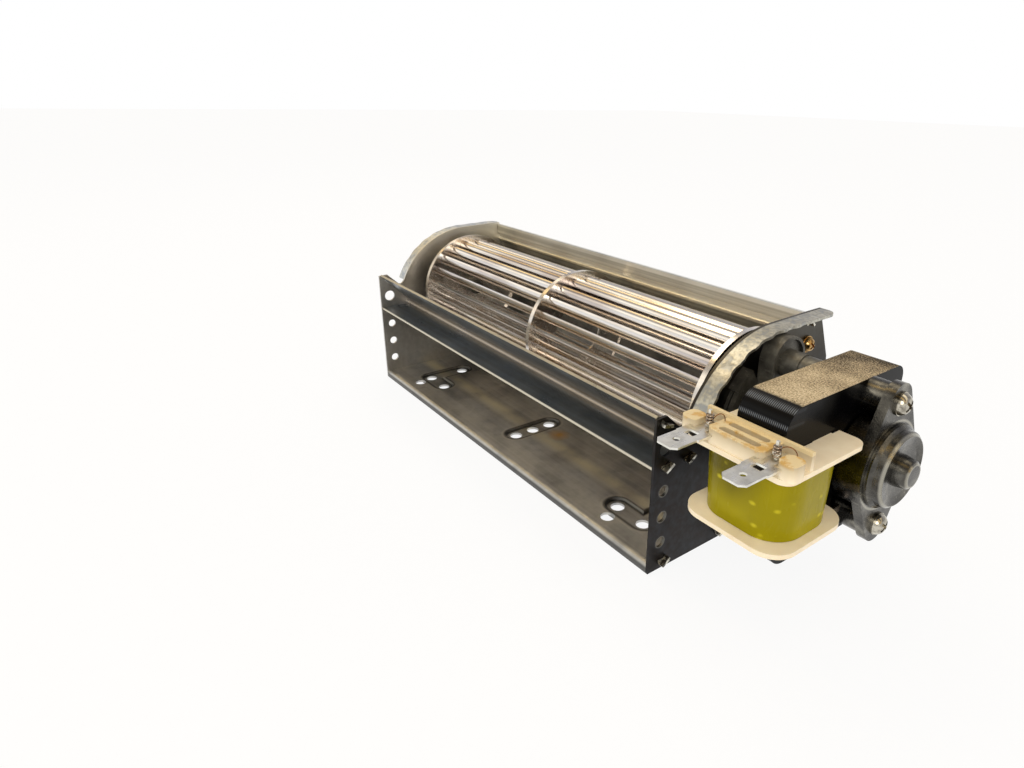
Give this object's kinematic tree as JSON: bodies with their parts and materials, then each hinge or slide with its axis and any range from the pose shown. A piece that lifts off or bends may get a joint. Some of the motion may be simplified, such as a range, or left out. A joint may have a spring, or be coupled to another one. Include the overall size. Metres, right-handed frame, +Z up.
{
  "type": "cross flow fan",
  "caption": "Cross flow fan: a drum impeller turning in a sheet metal scroll housing, driven by a shaded pole motor with spade terminals at one end.",
  "frame": {"origin": "bottom front corner of the left end plate, on the base plane and the outlet plane", "axes": "+X along the drum towards the motor, +Y from the outlet plane to the back, +Z up"},
  "size_m": [0.2181, 0.0844, 0.0628],
  "materials": {
    "galvanised_sheet": "galvanised, dull",
    "aluminium_sheet": "bright rolled",
    "die_cast_alloy": "die cast, tumbled",
    "core_steel": "lacquered laminations",
    "shaft_steel": "ground",
    "plated_steel": "nickel plated",
    "passivated_steel": "yellow passivated",
    "tinned_brass": "tin plated",
    "sintered_bronze": "oil soaked",
    "copper": "enamelled or bare",
    "coil_tape": "yellow green film",
    "bobbin_nylon": "natural nylon",
    "rubber": "matt"
  },
  "bodies": {
    "housing": {"left_end_plate": "galvanised_sheet", "right_end_plate": "galvanised_sheet", "scroll_sheet": "galvanised_sheet", "tongue_channel": "galvanised_sheet", "left_bearing_grommet": "rubber", "left_bearing_bush": "sintered_bronze", "stator_laminations": "core_steel", "coil_core": "core_steel", "shading_rings": "copper", "coil_bobbin": "bobbin_nylon", "coil_winding": "copper", "coil_tape": "coil_tape", "terminal_left": "tinned_brass", "terminal_right": "tinned_brass", "coil_wire_turns": "copper", "inner_bracket": "die_cast_alloy", "inner_bearing_bush": "sintered_bronze", "inner_bearing_clip": "plated_steel", "outer_bracket": "die_cast_alloy", "outer_bearing_bush": "sintered_bronze", "outer_bearing_clip": "plated_steel", "motor_screws": "plated_steel", "motor_screw_washers": "plated_steel", "earth_screw": "passivated_steel", "earth_washer": "passivated_steel"},
    "rotor": {"impeller_blades": "aluminium_sheet", "impeller_left_disc": "aluminium_sheet", "impeller_middle_disc": "aluminium_sheet", "impeller_right_disc": "aluminium_sheet", "impeller_left_hub": "die_cast_alloy", "impeller_stub_shaft": "shaft_steel", "rubber_coupling": "rubber", "motor_shaft": "shaft_steel", "motor_rotor": "core_steel", "thrust_washers": "bobbin_nylon"}
  },
  "joints": [
    {"name": "drum_spin", "type": "hinge", "parent": "housing", "child": "rotor", "pos_m": [0, 0.0403, 0.0374], "axis": [1, 0, 0], "continuous": true}
  ]
}
